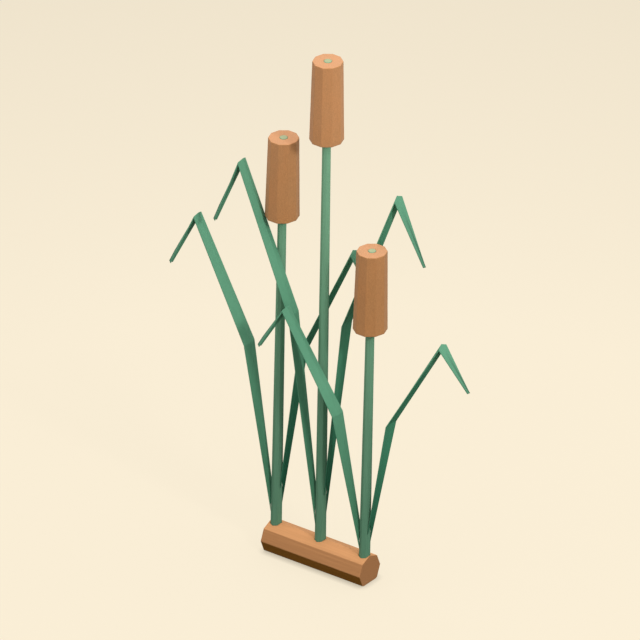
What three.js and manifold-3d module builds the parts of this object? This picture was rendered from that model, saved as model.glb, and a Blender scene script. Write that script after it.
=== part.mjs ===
// A stand of three cattail stalks, planted in a row in the top of a short eight-sided log.
// Millimetres, +Z up. X runs along the log, and the stalks lean slightly towards +X.
// The origin is the middle of the planed face that the log rests on.

import * as THREE from 'three';
import { mergeVertices } from 'three/addons/utils/BufferGeometryUtils.js';
import Module from 'manifold-3d';

const wasm = await Module();
wasm.setup();

// Driving dimensions
const GAP = 0.35;                 // kept between pieces that touch
const WELD = 1e-4;                // corners closer than this are one corner
const LOG_SIDES = 8;
const LOG_RADIUS = 15;            // to a corner, and one corner is the ridge on top
const LOG_LENGTH = 106;
const LOG_PLANED = 3.5;           // taken off the lowest corner, so that the log stands flat
const STALK_SPACING = 47.3;
const STALK_LEAN = 8;             // sideways travel of each stalk from the ridge to its top
const STEM_SIDES = 8;
const STEM_BASE_RADIUS = 4.95;    // at the ridge
const STEM_TIP_RADIUS = 3.55;     // at the top of the seed head
const STEM_TIP_PROUD = 0.4;       // the stem's tip stands this far out of the seed head
const SOCKET_DEPTH = 14;          // from the ridge down to the end of the stem
const HEAD_SIDES = 10;
const HEAD_LENGTH = 78;
const HEAD_TOP_RADIUS = 13.5;
const HEAD_BOTTOM_RADIUS = 15.1;
const LEAF_MIDRIB_THICKNESS = 1.3;
const LEAF_EDGE_THICKNESS = 0.9;

// A leaf rises out of its stem, bends outwards, peaks and droops. Its foot is a point inside the
// stem, and its root is where the blade starts, just over the log. reach is the distance from the
// foot along the log, turn the distance across the log, and height a share of the stalk's height.
// fold is how far the midrib stands out of the line between the two edges.
const LEAF_FOOT = new THREE.Vector3(-0.4, 0, 18);
const LEAF_FOOT_HALF_WIDTH = 2.7;
const LEAF_ROOT_HEIGHT = 28;
const LEAF_ROOT_FOLD = 0.8;
const LEAF_BEND = { reach: 23.6, turn: 6.8, height: 0.4846, halfWidth: 7.5, fold: 1.5 };
const LEAF_PEAK = { reach: 74.2, turn: 13.2, height: 0.758, halfWidth: 5.7, fold: 2.4 };
const LEAF_TIP = { reach: 96.2, turn: 20.6, height: 0.633, halfWidth: 1.5, fold: 1.5 };

// Leaves that cross stand in front of or behind each other: sway moves the bend, peak and tip
// along one slanting line, backwards where it is positive.
const SWAY_LINE = new THREE.Vector3(-0.517, 0.697, -0.497);
const STALKS = [
  { name: 'left', place: -1, height: 409.2, leftSway: [0, 0, 0], rightSway: [3, 13, 13] },
  { name: 'middle', place: 0, height: 501, leftSway: [-3.9, -1.3, -1.3], rightSway: [2, 18, 18] },
  { name: 'right', place: 1, height: 329.1, leftSway: [-4, -18, -18], rightSway: [0, 0, 0] },
];

const LOG_AXIS_HEIGHT = LOG_RADIUS - LOG_PLANED;
const RIDGE_HEIGHT = LOG_AXIS_HEIGHT + LOG_RADIUS;

const BARK = { color: 0xa5764d, roughness: 0.8, metalness: 0 };
const STEM_GREEN = { color: 0x6d9c78, roughness: 0.7, metalness: 0 };
const LEAF_GREEN = { color: 0x4f9068, roughness: 0.65, metalness: 0 };
const HEAD_BROWN = { color: 0xb07e53, roughness: 0.9, metalness: 0 };

// Turns a closed three.js geometry into a solid that can be cut.
function toSolid(geometry) {
  const bare = geometry.clone();
  bare.deleteAttribute('normal');
  bare.deleteAttribute('uv');
  const merged = mergeVertices(bare, WELD);
  return new wasm.Manifold(new wasm.Mesh({
    numProp: 3,
    vertProperties: new Float32Array(merged.attributes.position.array),
    triVerts: new Uint32Array(merged.index.array),
  }));
}

function toGeometry(solid) {
  const mesh = solid.getMesh();
  const geometry = new THREE.BufferGeometry();
  geometry.setAttribute('position', new THREE.BufferAttribute(mesh.vertProperties, mesh.numProp));
  geometry.setIndex(new THREE.BufferAttribute(mesh.triVerts, 1));
  geometry.computeVertexNormals();
  return geometry;
}

function namedMesh(name, geometry, finish) {
  const mesh = new THREE.Mesh(geometry, new THREE.MeshStandardMaterial({ ...finish, flatShading: true }));
  mesh.name = name;
  return mesh;
}

// Sideways place of a stalk's middle line at a height, in the stalk's own frame.
function leanAt(stalk, height) {
  return STALK_LEAN * (height - RIDGE_HEIGHT) / (stalk.height - RIDGE_HEIGHT);
}

// A tapered prism that follows a stalk's lean between two heights. One corner points along X.
function leaningPrism(stalk, sides, lowRadius, highRadius, low, high) {
  const geometry = new THREE.CylinderGeometry(highRadius, lowRadius, high - low, sides, 1);
  geometry.rotateX(Math.PI / 2);
  geometry.rotateZ(Math.PI / 2);
  geometry.translate(0, 0, (low + high) / 2);
  const slope = leanAt(stalk, high) - leanAt(stalk, low);
  const lean = new THREE.Matrix4().makeShear(0, 0, 0, 0, slope / (high - low), 0);
  geometry.applyMatrix4(lean);
  geometry.translate(leanAt(stalk, 0), 0, 0);
  return geometry;
}

function stemRadiusAt(stalk, height) {
  const share = (height - RIDGE_HEIGHT) / (stalk.height - RIDGE_HEIGHT);
  return THREE.MathUtils.lerp(STEM_BASE_RADIUS, STEM_TIP_RADIUS, share);
}

// The stem, or the space that a socket or a bore keeps for it where it is grown.
function stemGeometry(stalk, grown = 0) {
  const low = RIDGE_HEIGHT - SOCKET_DEPTH - grown;
  const high = stalk.height + STEM_TIP_PROUD + grown;
  const lowRadius = stemRadiusAt(stalk, low) + grown;
  const highRadius = stemRadiusAt(stalk, high) + grown;
  return leaningPrism(stalk, STEM_SIDES, lowRadius, highRadius, low, high);
}

function headGeometry(stalk) {
  const low = stalk.height - HEAD_LENGTH;
  return leaningPrism(stalk, HEAD_SIDES, HEAD_BOTTOM_RADIUS, HEAD_TOP_RADIUS, low, stalk.height);
}

// An eight-sided prism with its lowest corner planed off.
function logGeometry() {
  const outline = new THREE.Shape();
  const planedHalf = LOG_PLANED / Math.tan(Math.PI / LOG_SIDES);
  outline.moveTo(planedHalf, 0);
  for (let corner = -1; corner <= LOG_SIDES / 2 + 1; corner += 1) {
    const angle = corner * 2 * Math.PI / LOG_SIDES;
    outline.lineTo(LOG_RADIUS * Math.cos(angle), LOG_AXIS_HEIGHT + LOG_RADIUS * Math.sin(angle));
  }
  outline.lineTo(-planedHalf, 0);
  outline.closePath();
  const geometry = new THREE.ExtrudeGeometry(outline, { depth: LOG_LENGTH, bevelEnabled: false });
  geometry.translate(0, 0, -LOG_LENGTH / 2);
  const across = new THREE.Vector3(0, 1, 0);
  const up = new THREE.Vector3(0, 0, 1);
  const along = new THREE.Vector3(1, 0, 0);
  geometry.applyMatrix4(new THREE.Matrix4().makeBasis(across, up, along));
  return geometry;
}

// The leaf's stations from root to tip, each with its middle point and half width. side is 1 for
// the right leaf and -1 for the left one, which is the same leaf turned half round the stalk.
function leafStations(stalk, side, sway) {
  const [bend, peak, tip] = [LEAF_BEND, LEAF_PEAK, LEAF_TIP].map((station, index) => {
    const point = new THREE.Vector3(
      LEAF_FOOT.x + side * station.reach, side * station.turn, station.height * stalk.height);
    point.addScaledVector(SWAY_LINE, sway[index]);
    return { point, halfWidth: station.halfWidth, fold: station.fold };
  });
  const share = (LEAF_ROOT_HEIGHT - LEAF_FOOT.z) / (bend.point.z - LEAF_FOOT.z);
  const root = {
    point: LEAF_FOOT.clone().lerp(bend.point, share),
    halfWidth: THREE.MathUtils.lerp(LEAF_FOOT_HALF_WIDTH, bend.halfWidth, share),
    fold: LEAF_ROOT_FOLD,
  };
  return [root, bend, peak, tip];
}

// Unit vector square to one segment, towards the face of the leaf that looks at the stem.
function innerNormal(start, end, side) {
  return new THREE.Vector3(side * (start.z - end.z), 0, side * (end.x - start.x)).normalize();
}

// The two segments at a station share this vector, long enough to keep both at full thickness.
function mitre(stations, index, side) {
  const last = stations.length - 1;
  const [a, b] = [Math.max(index - 1, 0), Math.min(index, last - 1)];
  const before = innerNormal(stations[a].point, stations[a + 1].point, side);
  const after = innerNormal(stations[b].point, stations[b + 1].point, side);
  const shared = before.clone().add(after).normalize();
  return shared.divideScalar(shared.dot(after));
}

// Unit vector in which the midrib stands out: square to the line between a station's neighbours.
function foldDirection(stations, index, side) {
  const before = stations[Math.max(index - 1, 0)];
  const after = stations[Math.min(index + 1, stations.length - 1)];
  return innerNormal(before.point, after.point, side);
}

// A folded blade: a box of three lengths and two widths, with its corners moved to the stations.
function leafGeometry(stalk, side, sway) {
  const stations = leafStations(stalk, side, sway);
  const segments = stations.length - 1;
  const geometry = new THREE.BoxGeometry(2, 1, segments, 2, 1, segments);
  const position = geometry.attributes.position;
  const corner = new THREE.Vector3();
  for (let i = 0; i < position.count; i += 1) {
    corner.fromBufferAttribute(position, i);
    const index = Math.round(corner.z + segments / 2);
    const { point, halfWidth, fold } = stations[index];
    const middle = 1 - Math.abs(corner.x);
    const thickness = THREE.MathUtils.lerp(LEAF_EDGE_THICKNESS, LEAF_MIDRIB_THICKNESS, middle);
    const outward = mitre(stations, index, side).multiplyScalar(corner.y * thickness);
    const folded = foldDirection(stations, index, side).multiplyScalar(fold * middle);
    corner.set(0, side * corner.x * halfWidth, 0).add(point).add(outward).add(folded);
    position.setXYZ(i, corner.x, corner.y, corner.z);
  }
  return geometry;
}

function stalkGroup(stalk) {
  const group = new THREE.Group();
  group.position.x = stalk.place * STALK_SPACING;
  const stemSpace = toSolid(stemGeometry(stalk, GAP));
  const head = toSolid(headGeometry(stalk)).subtract(stemSpace);
  group.add(namedMesh(`${stalk.name}_stem`, stemGeometry(stalk), STEM_GREEN));
  group.add(namedMesh(`${stalk.name}_seed_head`, toGeometry(head), HEAD_BROWN));
  for (const [word, side, sway] of [['left', -1, stalk.leftSway], ['right', 1, stalk.rightSway]]) {
    const leaf = toSolid(leafGeometry(stalk, side, sway)).subtract(stemSpace);
    group.add(namedMesh(`${stalk.name}_stalk_${word}_leaf`, toGeometry(leaf), LEAF_GREEN));
  }
  return group;
}

function logMesh() {
  let log = toSolid(logGeometry());
  for (const stalk of STALKS) {
    const socket = toSolid(stemGeometry(stalk, GAP)).translate([stalk.place * STALK_SPACING, 0, 0]);
    log = log.subtract(socket);
  }
  return namedMesh('log', toGeometry(log), BARK);
}

const cattails = new THREE.Group();
cattails.add(logMesh());
for (const stalk of STALKS) {
  cattails.add(stalkGroup(stalk));
}

export default cattails;
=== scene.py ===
import math
import bmesh
import bpy
import numpy as np
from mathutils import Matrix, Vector, noise


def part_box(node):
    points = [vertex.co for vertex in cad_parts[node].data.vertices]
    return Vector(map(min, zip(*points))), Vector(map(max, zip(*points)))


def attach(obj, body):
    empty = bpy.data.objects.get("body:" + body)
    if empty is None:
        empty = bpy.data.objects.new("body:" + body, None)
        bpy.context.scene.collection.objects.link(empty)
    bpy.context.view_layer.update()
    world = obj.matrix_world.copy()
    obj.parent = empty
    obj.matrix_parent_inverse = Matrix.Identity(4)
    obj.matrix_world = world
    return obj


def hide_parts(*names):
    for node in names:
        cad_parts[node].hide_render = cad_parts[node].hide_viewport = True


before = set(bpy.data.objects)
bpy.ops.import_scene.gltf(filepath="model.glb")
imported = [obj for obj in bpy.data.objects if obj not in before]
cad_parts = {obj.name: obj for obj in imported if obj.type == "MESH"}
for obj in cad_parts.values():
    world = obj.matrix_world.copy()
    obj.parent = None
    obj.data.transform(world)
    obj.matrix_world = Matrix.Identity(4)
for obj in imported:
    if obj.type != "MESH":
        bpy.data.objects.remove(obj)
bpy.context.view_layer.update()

# Metres, +Z up. X runs along the log, and the stalks lean slightly towards +X.
# Each piece is a fine closed mesh in the place of its plain solid, with the same facets and bends,
# softened edges and a shallow relief of fibres, veins or grain.

# Driving dimensions, as in the model
GAP = 0.00035                     # kept between pieces that touch
BORE_GAP = 0.00012                # the same where the velvet closes round a stem
STALK_NAMES = ("left", "middle", "right")
STALK_SPACING = 0.0473
SIDE_NAMES = {-1: "left", 1: "right"}    # the way along X that a leaf goes
LOG_SIDES = 8
STEM_SIDES = 8
HEAD_SIDES = 10
LEAF_MIDRIB_THICKNESS = 0.0013
LEAF_EDGE_THICKNESS = 0.0009
LEAF_FOOT = np.array((-0.0004, 0.0, 0.018))
LEAF_FOOT_HALF_WIDTH = 0.0027
LEAF_ROOT_HEIGHT = 0.028
LEAF_ROOT_FOLD = 0.0008
# A leaf has four stations: root, bend, peak and tip. These are the last three, each with its reach
# along the log, turn across it, share of the stalk's height, half width, and how far the midrib
# stands out of the line between the edges.
LEAF_STATIONS = (
    (0.0236, 0.0068, 0.4846, 0.0075, 0.0015),
    (0.0742, 0.0132, 0.7580, 0.0057, 0.0024),
    (0.0962, 0.0206, 0.6330, 0.0015, 0.0015),
)
# How far those three are moved along the line of sight, so that crossing leaves keep clear
SWAY_LINE = np.array((-0.517, 0.697, -0.497))
SWAYS = {
    ("left", -1): (0, 0, 0),
    ("left", 1): (0.003, 0.013, 0.013),
    ("middle", -1): (-0.0039, -0.0013, -0.0013),
    ("middle", 1): (0.002, 0.018, 0.018),
    ("right", -1): (-0.004, -0.018, -0.018),
    ("right", 1): (0, 0, 0),
}

# What the leaves have beyond the model
# Painted light on each leaf's lower face: how much of the upper face's green it has at its four
# stations, instead of its painted shade
LOWER_FACE_PAINTED_LIGHT = {
    ("left", -1): (0.2, 0.3, 0.7, 0.7),
    ("left", 1): (0.0, 0.25, 0.3, 0.5),
    ("middle", -1): (0.15, 0.3, 0.7, 0.6),
    ("middle", 1): (0.0, 0.6, 0.4, 0.4),
    ("right", -1): (0.3, 0.3, 0.5, 0.7),
    ("right", 1): (0.2, 0.3, 0.1, 0.5),
}
# How much deeper the left leaves fold where they droop, at shares of that length
DROOP_SHARES = (0.0, 0.35, 0.8, 1.0)
LEFT_DROOP_FOLDS = (0.0, 0.0012, 0.0013, 0.0008)

# Fineness of the meshes
ROW_STEP = 0.0008
BORE_ROW_STEP = 0.01
STEM_ROW_STEP = 0.004
LEAF_ROW_STEP = 0.003
LOG_ROW_STEP = 0.0015
LOG_COLUMN_STEP = ROW_STEP * 0.8
LOG_COLUMNS_PER_SIDE_AT_LEAST = 3
HEAD_COLUMNS_PER_SIDE = 20
STEM_COLUMNS_PER_SIDE = 10
COLUMNS_PER_VEIN = 4
EDGE_CROWDING = 0.35              # how far a leaf's columns are drawn towards its edges
CREASE = 0.0003                   # distance of the rows beside a leaf's bend
CAP_START = 0.02                  # size of the innermost ring on the log's ends, as a share
SLIVER = 0.000002                 # a cut leaves no edge shorter than this
SAME_HEIGHT = 1e-5

# Rounded edges and corners
SOFT_CORNER = 0.997               # a facet corner is rounded off at this share of its radius
HEAD_EDGE = 0.0005
STEM_EDGE = 0.0002
LOG_EDGE = 0.0004
EDGE_TURNS = np.radians((0, 30, 60, 90))

# Relief: its depth, the length of its grain along X, Y and Z, and where its noise starts
TUFTS = (0.00004, (0.0009, 0.0009, 0.0018), 3.1)
LUMPS = (0.00006, (0.006, 0.006, 0.012), 7.7)
FINE_GRAIN = (0.00004, (0.03, 0.0016, 0.0016), 11.3)
COARSE_GRAIN = (0.00005, (0.05, 0.005, 0.005), 17.9)
VELVET_CLEARANCE = 0.002          # outside the radius of the stem's top, where the velvet starts
GRAIN_CLEARANCE = 0.0005          # above the planed face, where the grain starts
FIBRE_DEPTH = 0.00003
FIBRE_STEP = 0.71                 # through the noise, from one column to the next
FIBRE_START = (0.3, 5.0)
VEIN_DEPTH = 0.00005
VEINS = 18
STEM_FOOT_INSET = 0.003           # the stem's ends are closed by rings that shrink by these
STEM_TIP_INSETS = (STEM_EDGE, 0.0008, 0.0016, 0.0024)

# The photograph's frame
IMAGE_WIDTH = 640
PIXEL = 0.0150 / 17.45            # the log's radius is 17.45 pixels
RIDGE_AT_PIXEL = (320.4, 537.3)   # where the middle of the log's ridge shows
VIEW_AZIMUTH = math.radians(36.6)
VIEW_ELEVATION = math.radians(29.8)
CAMERA_DISTANCE = 2.0
CAMERA_RANGE = (0.01, 50)

# The floor
FLOOR_RADIUS = 8.0
FLOOR_SIDES = 96
FLOOR_DROP = 0.0001               # under the log's planed face
FLOOR_COLOUR = (0.984, 0.880, 0.692)
FLOOR_GLOW = 0.86                 # the share of its colour that no shadow falls on
LIGHT_FROM_ABOVE = 1.80           # how bright the sky and the lamp make a white floor
FADE_DISTANCES = (0.44, 1.9)      # the floor fades between these distances from the log
FADE_LIGHTS = (0.985, 0.765)
CONTACT_REACH = 0.0065            # how far the shade where the log touches the floor spreads
CONTACT_OPENNESS = (0.3, 1.0)     # from where the log covers most of the floor's view to the open
CONTACT_LIGHTS = (0.66, 1.0)

# Light
HORIZON = 0.02                    # half the height of the band where the sky starts
LAMP_AIM = Vector((0, 0, 0.25))

# Nodes
MIX_FACTOR, MIX_FIRST, MIX_SECOND, MIX_RESULT = 0, 6, 7, 2    # the colour sockets of a Mix node
NOISE_RANGE = (0.3, 0.7)          # a noise texture seldom leaves it


# Meshes

def closed_mesh(name, rings, joined_ends=False, blade=None):
    """An object whose mesh runs through rings of points, with its ends joined or closed by fans."""
    rings = np.asarray(rings, float)
    rows, columns = rings.shape[:2]
    points = rings.reshape(-1, 3)
    row = np.arange(rows if joined_ends else rows - 1)[:, None]
    column = np.arange(columns)[None, :]
    here = row * columns + column
    beside = row * columns + (column + 1) % columns
    above = (row + 1) % rows * columns
    quads = np.stack([here, beside, above + (column + 1) % columns, above + column], axis=-1)
    faces = quads.reshape(-1, 4).tolist()
    if not joined_ends:
        # halfway between two opposite points lies inside the section, also where it is folded
        opposite = [columns // 4, 3 * columns // 4]
        low, high = len(points), len(points) + 1
        points = np.vstack([points, rings[0][opposite].mean(0), rings[-1][opposite].mean(0)])
        top = (rows - 1) * columns
        for i in range(columns):
            j = (i + 1) % columns
            faces.append((low, j, i))
            faces.append((high, top + i, top + j))
    mesh = bpy.data.meshes.new(name)
    mesh.from_pydata(points.tolist(), [], faces)
    if blade is not None:
        values = np.zeros((len(points), 3))
        values[:len(blade)] = blade
        attribute = mesh.attributes.new("blade", "FLOAT_VECTOR", "POINT")
        attribute.data.foreach_set("vector", values.ravel())
    face_outwards(mesh)
    mesh.shade_smooth()
    return linked(name, mesh)


def linked(name, data):
    """A new object in the scene."""
    made = bpy.data.objects.new(name, data)
    bpy.context.scene.collection.objects.link(made)
    return made


def face_outwards(mesh):
    shape = bmesh.new()
    shape.from_mesh(mesh)
    if shape.calc_volume(signed=True) < 0:
        bmesh.ops.reverse_faces(shape, faces=shape.faces[:])
    shape.to_mesh(mesh)
    shape.free()


def whole_turn(columns):
    return np.arange(columns) * 2 * math.pi / columns


def polygon(angles, sides):
    """Distance of a regular polygon's rim from its middle, with soft corners, one of them at 0."""
    half = math.pi / sides
    local = np.mod(angles, 2 * half) - half
    return np.minimum(math.cos(half) / np.cos(local), SOFT_CORNER)


def rounding(edge):
    """(distance from the end, distance from the side) at points along a rounded edge."""
    return [(edge * (1 - math.cos(turn)), edge * (1 - math.sin(turn))) for turn in EDGE_TURNS]


def ripple(points, depth, lengths, seed):
    """Smooth noise at each point, up to this depth, with its grain stretched to these lengths."""
    scaled = points.reshape(-1, 3) / np.asarray(lengths) + seed
    values = [noise.noise(Vector(point)) for point in scaled.tolist()]
    return depth * np.array(values).reshape(points.shape[:-1])


def steps(start, end, step):
    """Even values from the start to the end, about a step apart."""
    return np.linspace(start, end, max(2, round(abs(end - start) / step) + 1))


def dress(piece, node, material):
    """Puts a piece in the place of its plain solid."""
    piece.data.materials.clear()
    piece.data.materials.append(material)
    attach(piece, "root")
    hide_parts(node)


class Stalk:
    """A stalk's middle line and radii, read from its nodes."""

    def __init__(self, name):
        self.name = name
        self.stem_low, self.stem_high = self.rims(f"{name}_stem")
        self.head_low, self.head_high = self.rims(f"{name}_seed_head")

    @staticmethod
    def rims(node):
        """(x of the middle, height, radius) of the lower and the upper end of a node."""
        points = np.array([v.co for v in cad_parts[node].data.vertices])
        ends = []
        for height in (points[:, 2].min(), points[:, 2].max()):
            x = points[np.abs(points[:, 2] - height) < SAME_HEIGHT, 0]
            ends.append(((x.min() + x.max()) / 2, height, (x.max() - x.min()) / 2))
        return ends

    def stem_radius(self, height):
        low, high = self.stem_low, self.stem_high
        return np.interp(height, (low[1], high[1]), (low[2], high[2]))

    def x_at(self, height):
        """Where the middle line is at a height, also past the ends of the stem."""
        low, high = self.stem_low, self.stem_high
        return low[0] + (height - low[1]) * (high[0] - low[0]) / (high[1] - low[1])

    def ring(self, angles, radii, height):
        """Points round the middle line at a height."""
        x = self.x_at(height) + radii * np.cos(angles)
        y = radii * np.sin(angles)
        return np.stack([x, y, np.full_like(x, height)], axis=-1)


# Seed heads

def seed_head(stalk):
    """A velvety ten-sided spike, bored for its stem."""
    (_, low, low_radius), (_, high, high_radius) = stalk.head_low, stalk.head_high
    angles = whole_turn(HEAD_SIDES * HEAD_COLUMNS_PER_SIDE)
    outside = polygon(angles, HEAD_SIDES)
    inside = polygon(angles, STEM_SIDES)

    def rim(height, inset=0.0):
        radius = np.interp(height, (low, high), (low_radius, high_radius))
        return stalk.ring(angles, outside * (radius - inset), height)

    def bore(height):
        return stalk.ring(angles, inside * (stalk.stem_radius(height) + BORE_GAP), height)

    def face(height):
        """Rings of an end face, from the bore to the rim."""
        shares = steps(0, 1, ROW_STEP / (low_radius - stalk.stem_radius(height)))
        return [bore(height) * (1 - s) + rim(height, HEAD_EDGE) * s for s in shares[:-1]]

    rings = face(low)
    rings += [rim(low + along, inset) for along, inset in rounding(HEAD_EDGE)]
    rings += [rim(height) for height in steps(low + HEAD_EDGE, high - HEAD_EDGE, ROW_STEP)[1:-1]]
    rings += [rim(high - along, inset) for along, inset in rounding(HEAD_EDGE)[::-1]]
    rings += face(high)[::-1]
    rings += [bore(height) for height in steps(high, low, BORE_ROW_STEP)[1:-1]]
    rings = np.array(rings)
    heights = rings[..., 2]
    away = rings - np.stack([stalk.x_at(heights), np.zeros_like(heights), heights], axis=-1)
    distance = np.linalg.norm(away, axis=-1, keepdims=True)
    velvet = ripple(rings, *TUFTS) + ripple(rings, *LUMPS)
    outer = distance[..., 0] > stalk.stem_radius(high) + VELVET_CLEARANCE
    rings += away / distance * np.where(outer, velvet, 0)[..., None]
    return closed_mesh(f"{stalk.name}_head_velvet", rings, joined_ends=True)


# Stems

def stem(stalk):
    """A tapered eight-sided stem with fine fibres along it."""
    low, high = stalk.stem_low[1], stalk.stem_high[1]
    angles = whole_turn(STEM_SIDES * STEM_COLUMNS_PER_SIDE)
    outside = polygon(angles, STEM_SIDES)
    starts = [Vector((i * FIBRE_STEP, *FIBRE_START)) for i in range(len(angles))]
    fibres = FIBRE_DEPTH * np.array([noise.noise(start) for start in starts])
    fibres[-1] = fibres[0]

    def rim(height, inset=0.0):
        radius = stalk.stem_radius(height) - inset
        return stalk.ring(angles, outside * radius + fibres, height)

    rings = [rim(low, STEM_FOOT_INSET), rim(low, STEM_EDGE)]
    rings += [rim(height) for height in steps(low + STEM_EDGE, high - STEM_EDGE, STEM_ROW_STEP)]
    rings += [rim(high, inset) for inset in STEM_TIP_INSETS]
    return closed_mesh(f"{stalk.name}_stem_fibres", rings)


def stem_space(stalk):
    """The stem grown by the gap, for cutting the sockets and the feet of the leaves."""
    low, high = stalk.stem_low[1] - GAP, stalk.stem_high[1] + GAP
    angles = whole_turn(STEM_SIDES)
    rings = [stalk.ring(angles, stalk.stem_radius(height) + GAP, height) for height in (low, high)]
    return closed_mesh(f"{stalk.name}_space", rings)


def cut(piece, cutter):
    """Takes the cutter's space out of a piece, and deletes the cutter and the slivers it leaves."""
    modifier = piece.modifiers.new("cut", "BOOLEAN")
    modifier.operation = "DIFFERENCE"
    modifier.solver = "EXACT"
    modifier.object = cutter
    bpy.context.view_layer.update()
    evaluated = piece.evaluated_get(bpy.context.evaluated_depsgraph_get())
    mesh = bpy.data.meshes.new_from_object(evaluated)
    piece.modifiers.clear()
    shape = bmesh.new()
    shape.from_mesh(mesh)
    bmesh.ops.dissolve_degenerate(shape, dist=SLIVER, edges=shape.edges[:])
    shape.to_mesh(mesh)
    shape.free()
    piece.data = mesh
    bpy.data.objects.remove(cutter)


# Leaves

def leaf_stations(stalk, side):
    """(point, half width, fold) of the blade at its root, bend, peak and tip."""
    place = np.array((STALK_SPACING * (STALK_NAMES.index(stalk.name) - 1), 0.0, 0.0))
    stations = []
    sways = SWAYS[stalk.name, side]
    for (reach, turn, share, half_width, fold), sway in zip(LEAF_STATIONS, sways):
        point = np.array((LEAF_FOOT[0] + side * reach, side * turn, share * stalk.head_high[1]))
        stations.append((place + point + sway * SWAY_LINE, half_width, fold))
    bend, half_width, _ = stations[0]
    foot = place + LEAF_FOOT
    share = (LEAF_ROOT_HEIGHT - foot[2]) / (bend[2] - foot[2])
    root_half_width = LEAF_FOOT_HALF_WIDTH + share * (half_width - LEAF_FOOT_HALF_WIDTH)
    return [(foot + share * (bend - foot), root_half_width, LEAF_ROOT_FOLD)] + stations


def upper_normal(start, end, side):
    """Unit vector square to the line between two points, out of the blade's upper face."""
    across = np.array((side * (start[2] - end[2]), 0.0, side * (end[0] - start[0])))
    return across / np.linalg.norm(across)


def mitres(points, side):
    """The vector that the two lengths at each station share, long enough for full thickness."""
    normals = [upper_normal(start, end, side) for start, end in zip(points, points[1:])]
    vectors = []
    for before, after in zip(normals[:1] + normals, normals + normals[-1:]):
        shared = (before + after) / np.linalg.norm(before + after)
        vectors.append(shared / shared.dot(after))
    return vectors


def midribs(points, folds, side):
    """How the midrib is moved at each station, square to the line between its neighbours."""
    ends = zip(points[:1] + points, points[1:] + points[-1:])
    return [fold * upper_normal(start, end, side) for fold, (start, end) in zip(folds, ends)]


def blade_outline():
    """One loop round the blade: its place across, from -1 to 1, and which face it is on."""
    columns = VEINS * COLUMNS_PER_VEIN
    even = np.linspace(-1, 1, columns + 1)
    across = EDGE_CROWDING * np.sin(even * math.pi / 2) + (1 - EDGE_CROWDING) * even
    face = np.concatenate([[0], np.ones(columns - 1), [0], -np.ones(columns - 1)])
    return np.concatenate([across, across[-2:0:-1]]), face


def leaf(stalk, side):
    """A folded blade that rises, bends outwards, peaks and droops, with veins along it."""
    points, half_widths, folds = zip(*leaf_stations(stalk, side))
    outwards = mitres(points, side)
    folded = midribs(points, folds, side)
    across, face = blade_outline()
    middle = 1 - np.abs(across)
    thickness = LEAF_EDGE_THICKNESS + (LEAF_MIDRIB_THICKNESS - LEAF_EDGE_THICKNESS) * middle
    between_veins = np.abs(np.sin(across * math.pi * VEINS / 2))
    droop = len(points) - 2
    rings, blade = [], []
    for i in range(droop + 1):
        length = np.linalg.norm(points[i + 1] - points[i])
        shares = list(steps(CREASE / length, 1 - CREASE / length, LEAF_ROW_STEP / length))
        shares = [0.0] + shares + ([1.0] if i == droop else [])
        for share in shares:
            point, outward, fold, half_width, painted_light = (
                values[i] + share * (values[i + 1] - values[i])
                for values in (points, outwards, folded, half_widths, LOWER_FACE_PAINTED_LIGHT[stalk.name, side]))
            if side == -1 and i == droop:
                fold = fold + np.interp(share, DROOP_SHARES, LEFT_DROOP_FOLDS) * outward
            round_edge = np.clip(1 - middle * half_width / (LEAF_EDGE_THICKNESS / 2), 0, 1)
            grooves = VEIN_DEPTH * between_veins * (1 - round_edge)
            rise = face * (thickness / 2 * np.sqrt(1 - round_edge ** 2) - grooves)
            ring = point + np.outer(rise, outward) + np.outer(middle, fold)
            ring[:, 1] += side * across * half_width
            rings.append(ring)
            station = np.full_like(across, i + share)
            # the third channel is the painted light: 1 on the upper face, the table's share on the
            # lower face
            blade.append(np.stack([across, station, np.where(face >= 0, 1.0, painted_light)], axis=-1))
    name = f"{stalk.name}_{SIDE_NAMES[side]}_blade"
    return closed_mesh(name, rings, blade=np.concatenate(blade))


# Log

def log_section():
    """The log's radius and the height of its axis."""
    low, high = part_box("log")
    radius = (high.y - low.y) / 2
    return radius, high.z - radius


def log_outline():
    """Points round the log's cross section, as (across, height), with the planed face at 0."""
    radius, axis = log_section()
    planed = radius - axis
    corners = [(planed / math.tan(math.pi / LOG_SIDES), 0.0)]
    # every corner but the lowest, which the planed face takes off
    for corner in range(-1, LOG_SIDES // 2 + 2):
        angle = corner * 2 * math.pi / LOG_SIDES
        corners.append((radius * math.cos(angle), axis + radius * math.sin(angle)))
    corners.append((-corners[0][0], 0.0))
    points = []
    for (y0, z0), (y1, z1) in zip(corners, corners[1:] + corners[:1]):
        length = math.hypot(y1 - y0, z1 - z0)
        count = max(LOG_COLUMNS_PER_SIDE_AT_LEAST, round(length / LOG_COLUMN_STEP))
        ends = np.linspace(0.0, 1.0, count, endpoint=False)
        points += [(y0 + s * (y1 - y0), z0 + s * (z1 - z0)) for s in ends]
    return np.array(points)


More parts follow.
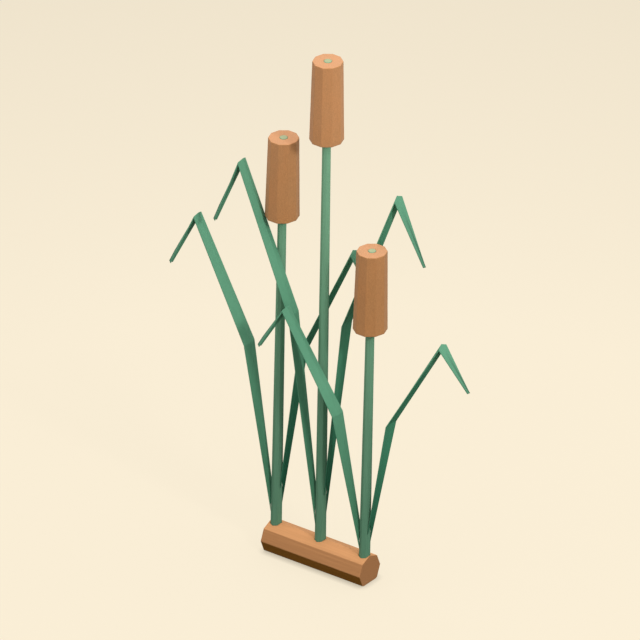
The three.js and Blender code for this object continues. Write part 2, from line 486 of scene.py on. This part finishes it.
def log():
    """An eight-sided log, planed below, with shallow grain along it."""
    low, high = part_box("log")
    radius, axis = log_section()
    outline = log_outline()
    middle = np.array((0.0, axis))

    def section(x, scale):
        flat = middle + (outline - middle) * scale
        return np.column_stack([np.full(len(flat), x), flat])

    scales = steps(CAP_START, 1 - LOG_EDGE / radius, ROW_STEP / radius)[:-1]
    cap = [section(low.x, scale) for scale in scales]
    cap += [section(low.x + along, 1 - inset / radius) for along, inset in rounding(LOG_EDGE)]
    sides = [section(x, 1.0) for x in steps(low.x + LOG_EDGE, high.x - LOG_EDGE, LOG_ROW_STEP)[1:-1]]
    mirrored = [ring * np.array((-1, 1, 1)) for ring in cap[::-1]]
    rings = np.array(cap + sides + mirrored)
    grain = ripple(rings, *FINE_GRAIN) + ripple(rings, *COARSE_GRAIN)
    away = rings - np.array((0.0, *middle))
    away[..., 0] = 0
    distance = np.linalg.norm(away, axis=-1, keepdims=True)
    on_side = (np.abs(rings[..., 0]) < high.x - LOG_EDGE) & (rings[..., 2] > GRAIN_CLEARANCE)
    rings += away / distance * np.where(on_side, grain, 0)[..., None]
    return closed_mesh("log_grain", rings)


# Materials

class Tree:
    """A tree of nodes. Each call adds a node or a few, and returns the last one's output."""

    def __init__(self, node_tree):
        self.nodes = node_tree.nodes
        self.links = node_tree.links

    def add(self, kind, inputs=None, output=0, **settings):
        made = self.nodes.new(kind)
        for key, value in settings.items():
            setattr(made, key, value)
        for key, value in (inputs or {}).items():
            self.feed(made.inputs[key], value)
        return made.outputs[output]

    def feed(self, socket, value):
        if isinstance(value, bpy.types.NodeSocket):
            self.links.new(value, socket)
        else:
            socket.default_value = value

    def split(self, vector):
        """X, Y and Z of a vector."""
        return self.add("ShaderNodeSeparateXYZ", {"Vector": vector}).node.outputs

    def place(self, stretch=(1, 1, 1), shift=(0, 0, 0)):
        """Where a point of the object is, with its axes scaled and then shifted."""
        where = self.add("ShaderNodeTexCoord", output="Object")
        return self.add("ShaderNodeMapping", {"Vector": where, "Location": shift, "Scale": stretch})

    def normal(self):
        """X, Y and Z of the surface's direction."""
        return self.split(self.add("ShaderNodeNewGeometry", output="Normal"))

    def noise(self, where, scale, detail=2.0):
        return self.add("ShaderNodeTexNoise", {"Vector": where, "Scale": scale, "Detail": detail})

    def maths(self, operation, *values):
        return self.add("ShaderNodeMath", dict(enumerate(values)), operation=operation)

    def times(self, first, second):
        return self.maths("MULTIPLY", first, second)

    def length(self, vector):
        return self.add("ShaderNodeVectorMath", {0: vector}, output="Value", operation="LENGTH")

    def fit(self, value, low, high, to_low=0.0, to_high=1.0):
        """The value, moved from one range to another and kept in it."""
        ranges = {"From Min": low, "From Max": high, "To Min": to_low, "To Max": to_high}
        return self.add("ShaderNodeMapRange", {"Value": value, **ranges})

    def vary(self, pattern, amount):
        """A light of about 1 that the pattern changes by this amount either way."""
        return self.fit(pattern, *NOISE_RANGE, 1 - amount, 1 + amount)

    def blend(self, factor, first, second, mode="MIX"):
        made = self.nodes.new("ShaderNodeMix")
        made.data_type = "RGBA"
        made.blend_type = mode
        self.feed(made.inputs[MIX_FACTOR], factor)
        self.feed(made.inputs[MIX_FIRST], first)
        self.feed(made.inputs[MIX_SECOND], second)
        return made.outputs[MIX_RESULT]

    def shade(self, colour, amount):
        """The colour times a grey number."""
        grey = self.add("ShaderNodeCombineColor", {0: amount, 1: amount, 2: amount})
        return self.blend(1.0, colour, grey, "MULTIPLY")


class Finish(Tree):
    """A material and its nodes."""

    def __init__(self, name, roughness, specular):
        self.material = bpy.data.materials.new(name)
        self.material.use_nodes = True
        super().__init__(self.material.node_tree)
        self.shader = self.nodes["Principled BSDF"]
        self.shader.inputs["Roughness"].default_value = roughness
        self.shader.inputs["Specular IOR Level"].default_value = specular

    def finish(self, colour, height=None, strength=0.25, depth=0.0001):
        """The material, with its colour and the bumps that a height makes."""
        self.feed(self.shader.inputs["Base Color"], colour)
        if height is not None:
            inputs = {"Strength": strength, "Distance": depth, "Height": height}
            self.feed(self.shader.inputs["Normal"], self.add("ShaderNodeBump", inputs))
        return self.material


def seed_material():
    """Brown velvet, with painted shade lower down the stand and painted light higher up and on the
    heads' tops.
    """
    shaded_low_brown, lit_high_brown = (0.386, 0.176, 0.062, 1), (0.458, 0.216, 0.087, 1)
    lit_top_brown = (0.515, 0.250, 0.114, 1)
    cool, warm = (0.98, 1.0, 1.02, 1), (1.02, 1.0, 0.98, 1)
    tree = Finish("seed_velvet", roughness=0.9, specular=0.2)
    tree.shader.inputs["Sheen Weight"].default_value = 0.1
    tree.shader.inputs["Sheen Roughness"].default_value = 0.5
    cells = tree.add("ShaderNodeTexVoronoi", {"Vector": tree.place((1, 1, 0.7)), "Scale": 1700.0})
    fluff = tree.noise(tree.place((1, 1, 0.35)), scale=900.0, detail=4.0)
    patches = tree.noise(tree.place((1, 1, 0.5)), scale=70.0, detail=3.0)
    light = tree.times(tree.fit(cells, 0.0, 0.75, 1.09, 0.87), tree.vary(fluff, 0.06))
    height = tree.split(tree.place())["Z"]
    # painted shade and light: the velvet darker low on the stand and paler high up, as the light
    # falls
    colour = tree.blend(tree.fit(height, 0.29, 0.46), shaded_low_brown, lit_high_brown)
    # painted light on the heads' upward faces
    colour = tree.blend(tree.fit(tree.normal()["Z"], 0.8, 0.95), colour, lit_top_brown)
    tint = tree.blend(tree.fit(patches, 0.35, 0.65), cool, warm)
    colour = tree.blend(1.0, colour, tint, "MULTIPLY")
    bumps = tree.maths("SUBTRACT", fluff, cells)
    return tree.finish(tree.shade(colour, light), bumps, strength=0.35, depth=0.00015)


def stem_material():
    """Green fibres, with painted shade at the foot and painted light paler with height, and a pale
    cut end.
    """
    shaded_foot_green, lit_high_green = (0.079, 0.188, 0.116, 1), (0.148, 0.320, 0.197, 1)
    cut_green = (0.300, 0.345, 0.196, 1)
    tree = Finish("stem_fibres", roughness=0.62, specular=0.15)
    fibres = tree.noise(tree.place((1, 1, 0.02)), scale=1900.0, detail=3.0)
    mottle = tree.noise(tree.place((1, 1, 0.25)), scale=160.0, detail=3.0)
    height = tree.split(tree.place())["Z"]
    # painted shade and light: darker at the foot and paler with height, as the light falls
    colour = tree.blend(tree.fit(height, 0.03, 0.40), shaded_foot_green, lit_high_green)
    colour = tree.shade(colour, tree.times(tree.vary(fibres, 0.07), tree.vary(mottle, 0.03)))
    colour = tree.blend(tree.fit(tree.normal()["Z"], 0.85, 0.95), colour, cut_green)
    return tree.finish(colour, fibres)


def leaf_material():
    """Veined green, with painted shade on the lower face near the root, on the tips and in the
    midrib's groove, and painted light on the lower face from the peak on.

    The blade attribute holds the place across, the station, which counts from 0 at the root to 3
    at the tip, and how much of the upper face's green the surface has, as painted light on the lower
    face.
    """
    upper_root_shaded, upper_high = (0.062, 0.198, 0.113, 1), (0.098, 0.274, 0.166, 1)
    lower_root_shaded, lower_high_shaded = (0.003, 0.068, 0.033, 1), (0.032, 0.190, 0.103, 1)
    lower_peak_lit = (0.130, 0.400, 0.230, 1)
    tree = Finish("leaf_veins", roughness=0.6, specular=0.12)
    blade = tree.add("ShaderNodeAttribute", output="Vector", attribute_name="blade")
    across, station, painted_light = tree.split(blade)
    stripes = tree.maths("ABSOLUTE", tree.maths("SINE", tree.times(across, math.pi * VEINS / 2)))
    along = tree.times(station, 2.0)
    strip = tree.add("ShaderNodeCombineXYZ", {"X": tree.times(across, 9.0), "Y": along})
    fibres = tree.noise(strip, scale=8.0, detail=4.0)
    sheet = tree.add("ShaderNodeCombineXYZ", {"X": across, "Y": tree.times(along, 2.5)})
    mottle = tree.noise(sheet, scale=1.5, detail=3.0)
    # painted shade on the upper face, darker near the root
    upper = tree.blend(tree.fit(station, 0.3, 1.3), upper_root_shaded, upper_high)
    # painted shade on the lower face, lightening from the root to the bend, and painted light on it
    # from the peak on
    lower = tree.blend(tree.fit(station, 0.12, 0.78), lower_root_shaded, lower_high_shaded)
    lower = tree.blend(tree.fit(station, 1.6, 2.0), lower, lower_peak_lit)
    light = tree.times(tree.fit(stripes, 0.0, 1.0, 1.05, 0.98), tree.vary(fibres, 0.06))
    light = tree.times(light, tree.vary(mottle, 0.03))
    # painted shade, darkening towards the tips
    light = tree.times(light, tree.fit(station, 2.0, 3.0, 0.95, 0.78))
    # painted shade along the midrib towards the tip, as in a crease
    midrib_groove_shade = tree.fit(tree.maths("ABSOLUTE", across), 0.1, 0.4, 0.5, 0.0)
    midrib_groove_shade = tree.times(midrib_groove_shade, tree.fit(station, 2.15, 2.7))
    light = tree.times(light, tree.maths("SUBTRACT", 1.0, midrib_groove_shade))
    # painted light and shade: the lower face's painted shade, paled by its share of painted light
    colour = tree.blend(painted_light, lower, upper)
    return tree.finish(tree.shade(colour, light), stripes, strength=0.2)


def log_material():
    """Brown wood with painted shade on its lower and front facets, grain along it and rings on its
    ends.
    """
    side_brown, cap_brown = (0.478, 0.230, 0.097, 1), (0.304, 0.141, 0.057, 1)
    under_facet_shade, front_facet_shade, roof_unshaded = (0.380, 0.325, 0.100, 1), (0.66, 0.63, 0.585, 1), (1, 1, 1, 1)
    ring_width, ring_wobble, ring_shift = 0.0014, 0.0015, 0.001
    tree = Finish("log_wood", roughness=0.8, specular=0.08)
    grain = tree.noise(tree.place((0.03, 1, 1)), scale=700.0, detail=4.0)
    bands = tree.noise(tree.place((0.08, 1, 1)), scale=160.0, detail=3.0)
    side = tree.shade(side_brown, tree.times(tree.vary(grain, 0.06), tree.vary(bands, 0.03)))
    _, axis = log_section()
    from_heart = tree.place(stretch=(0, 1, 1), shift=(0, ring_shift, -axis))
    wobble = tree.times(tree.noise(from_heart, scale=120.0), ring_wobble)
    distance = tree.maths("ADD", tree.length(from_heart), wobble)
    rings = tree.maths("SINE", tree.times(distance, 2 * math.pi / ring_width))
    pores = tree.noise(tree.place(), scale=1400.0, detail=3.0)
    cap = tree.shade(cap_brown, tree.times(tree.fit(rings, -1, 1, 0.9, 1.1), tree.vary(pores, 0.08)))
    x, _, z = tree.normal()
    # painted shade: the facets darker the further they face downwards
    facet = tree.blend(tree.fit(z, -0.30, -0.15), under_facet_shade, front_facet_shade)
    facet = tree.blend(tree.fit(z, 0.3, 0.7), facet, roof_unshaded)
    on_cap = tree.fit(tree.maths("ABSOLUTE", x), 0.6, 0.8)
    colour = tree.blend(on_cap, tree.blend(1.0, side, facet, "MULTIPLY"), cap)
    return tree.finish(colour, tree.blend(on_cap, grain, rings))


# Object

seed_brown = seed_material()
stem_green = stem_material()
leaf_green = leaf_material()
bark = log_material()

log_piece = log()
for stalk_name in STALK_NAMES:
    stalk = Stalk(stalk_name)
    dress(seed_head(stalk), f"{stalk_name}_seed_head", seed_brown)
    dress(stem(stalk), f"{stalk_name}_stem", stem_green)
    cut(log_piece, stem_space(stalk))
    for side, side_name in SIDE_NAMES.items():
        piece = leaf(stalk, side)
        cut(piece, stem_space(stalk))
        dress(piece, f"{stalk_name}_stalk_{side_name}_leaf", leaf_green)
dress(log_piece, "log", bark)


# Stage, light and camera

def floor():
    """A pale floor that shows only faint shadows, and throws no light back on the object."""
    mesh = bpy.data.meshes.new("floor")
    angles = whole_turn(FLOOR_SIDES)
    rim = [(FLOOR_RADIUS * math.cos(a), FLOOR_RADIUS * math.sin(a), -FLOOR_DROP) for a in angles]
    mesh.from_pydata(rim, [], [list(range(FLOOR_SIDES))])
    tree = Finish("pale_floor", roughness=1.0, specular=0.0)
    light = tree.fit(tree.length(tree.place()), *FADE_DISTANCES, *FADE_LIGHTS)
    reach = {"Distance": CONTACT_REACH}
    openness = tree.add("ShaderNodeAmbientOcclusion", reach, output="AO", samples=8)
    light = tree.times(light, tree.fit(openness, *CONTACT_OPENNESS, *CONTACT_LIGHTS))
    tree.feed(tree.shader.inputs["Emission Color"], tree.shade((*FLOOR_COLOUR, 1), light))
    tree.shader.inputs["Emission Strength"].default_value = FLOOR_GLOW
    reflected = [(1 - FLOOR_GLOW) * value / LIGHT_FROM_ABOVE for value in FLOOR_COLOUR]
    mesh.materials.append(tree.finish(tree.shade((*reflected, 1), light)))
    piece = linked("floor", mesh)
    piece.visible_diffuse = False
    piece.visible_glossy = False


def sky(below, above, slant):
    """Even light, warm low down. Its strength changes by the slant towards the +X side."""
    warm, cool = (1.0, 0.96, 0.86, 1), (1.0, 1.0, 1.02, 1)
    world = bpy.data.worlds.new("studio")
    bpy.context.scene.world = world
    world.use_nodes = True
    tree = Tree(world.node_tree)
    x, _, z = tree.split(tree.add("ShaderNodeTexCoord", output="Generated"))
    level = tree.fit(z, -HORIZON, HORIZON, below, above)
    background = tree.nodes["Background"].inputs
    tree.feed(background["Strength"], tree.times(level, tree.maths("MULTIPLY_ADD", x, slant, 1.0)))
    tree.feed(background["Color"], tree.blend(tree.fit(z, 0.0, 0.8), warm, cool))


def lamp(azimuth, elevation, distance, size, power):
    """A soft round lamp. Azimuth 0 is on the +X side, 90 on the +Y side."""
    light = bpy.data.lights.new("key", "AREA")
    light.shape = "DISK"
    light.size = size
    light.energy = power
    a, e = math.radians(azimuth), math.radians(elevation)
    away = Vector((math.cos(a) * math.cos(e), math.sin(a) * math.cos(e), math.sin(e)))
    lamp_object = linked("key", light)
    lamp_object.location = LAMP_AIM + away * distance
    lamp_object.rotation_mode = "QUATERNION"
    lamp_object.rotation_quaternion = away.to_track_quat("Z", "Y")


def camera():
    """An even, parallel view from the photograph's angle."""
    a, e = VIEW_AZIMUTH, VIEW_ELEVATION
    right = Vector((math.cos(a), math.sin(a), 0))
    back = Vector((math.sin(a) * math.cos(e), -math.cos(a) * math.cos(e), math.sin(e)))
    up = back.cross(right)
    ridge = Vector((0, 0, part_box("log")[1].z))
    middle = IMAGE_WIDTH / 2
    shift_right = (middle - RIDGE_AT_PIXEL[0]) * PIXEL
    shift_up = (RIDGE_AT_PIXEL[1] - middle) * PIXEL
    target = ridge + right * shift_right + up * shift_up
    data = bpy.data.cameras.new("camera")
    data.type = "ORTHO"
    data.ortho_scale = IMAGE_WIDTH * PIXEL
    data.clip_start, data.clip_end = CAMERA_RANGE
    eye = linked("camera", data)
    eye.location = target + back * CAMERA_DISTANCE
    eye.rotation_mode = "QUATERNION"
    eye.rotation_quaternion = (-back).to_track_quat("-Z", "Y")
    bpy.context.scene.camera = eye


floor()
sky(below=0.10, above=1.49, slant=-0.05)
lamp(azimuth=-17, elevation=36, distance=1.4, size=0.16, power=8.0)
camera()
bpy.context.scene.view_settings.view_transform = "Standard"
